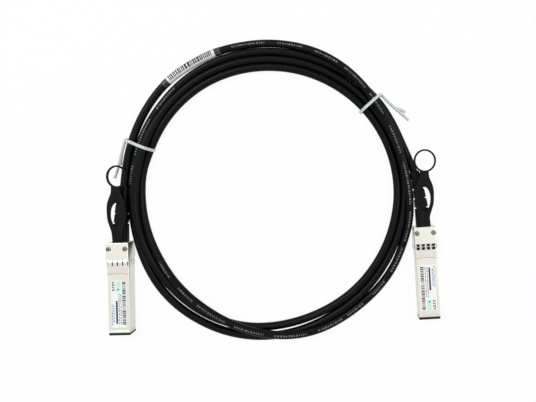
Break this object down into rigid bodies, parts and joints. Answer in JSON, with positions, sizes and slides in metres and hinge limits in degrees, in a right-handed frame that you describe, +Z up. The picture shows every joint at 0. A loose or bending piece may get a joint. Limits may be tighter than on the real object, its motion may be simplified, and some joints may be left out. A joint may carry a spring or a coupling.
{
  "type": "direct attach copper cable",
  "caption": "Twin-axial patch cable wound in a flat coil, with metal-shelled pluggable ends that have spring collars, strain reliefs and sliding pull tabs.",
  "frame": {"origin": "on the surface the part lies on, under the middle of the box round both plugs with their tabs and boots", "axes": "+X from the first plug to the second, +Y from the plugs' noses towards their pull tabs, +Z up from the surface"},
  "size_m": [0.2099, 0.1932, 0.0109],
  "materials": {
    "plated_shell": "satin nickel plate on a zinc die casting",
    "steel_screw": "zinc-plated steel",
    "spring_sheet": "stamped stainless sheet",
    "spring_wire": "drawn spring wire",
    "black_moulding": "moulded, satin",
    "board_laminate": "solder mask on laminate",
    "gold_contact": "gold plate",
    "chip_package": "moulded, matte",
    "pair_insulation": "foil-wrapped pairs",
    "crimp_brass": "tin-plated, crimped",
    "tab_rubber": "moulded, matte",
    "boot_rubber": "moulded, matte",
    "label_paper": "printed film",
    "cable_jacket": "extruded jacket, satin",
    "tag_sleeve": "clear sleeve over a printed wrap",
    "tie_plastic": "coated wire"
  },
  "bodies": {
    "cable": {"upper_shell_a": "plated_shell", "lower_shell_a": "plated_shell", "clamp_screws_a": "steel_screw", "emi_collar_a": "spring_sheet", "nose_frame_a": "black_moulding", "circuit_board_a": "board_laminate", "edge_contacts_a": "gold_contact", "board_chips_a": "chip_package", "twinax_pairs_a": "pair_insulation", "cable_ferrule_a": "crimp_brass", "return_spring_a": "spring_wire", "plug_label_a": "label_paper", "strain_relief_a": "boot_rubber", "cable_lead_a": "cable_jacket", "upper_shell_b": "plated_shell", "lower_shell_b": "plated_shell", "clamp_screws_b": "steel_screw", "emi_collar_b": "spring_sheet", "nose_frame_b": "black_moulding", "circuit_board_b": "board_laminate", "edge_contacts_b": "gold_contact", "board_chips_b": "chip_package", "twinax_pairs_b": "pair_insulation", "cable_ferrule_b": "crimp_brass", "return_spring_b": "spring_wire", "plug_label_b": "label_paper", "strain_relief_b": "boot_rubber", "cable_lead_b": "cable_jacket", "cable_coil": "cable_jacket", "cable_tag": "tag_sleeve", "twist_tie_left": "tie_plastic", "twist_tie_right": "tie_plastic"},
    "release_a": {"release_slider_a": "spring_sheet", "pull_tab_a": "tab_rubber"},
    "release_b": {"release_slider_b": "spring_sheet", "pull_tab_b": "tab_rubber"}
  },
  "joints": [
    {"name": "release_a_pull", "type": "slide", "parent": "cable", "child": "release_a", "axis": [-0.0234, 0.9997, 0], "range_m": [0, 0.002], "stiffness_N_per_m": 400, "springref_m": -0.001, "deforming": ["return_spring_a"]},
    {"name": "release_b_pull", "type": "slide", "parent": "cable", "child": "release_b", "axis": [-0.0591, 0.9983, 0], "range_m": [0, 0.002], "stiffness_N_per_m": 400, "springref_m": -0.001, "deforming": ["return_spring_b"]}
  ]
}
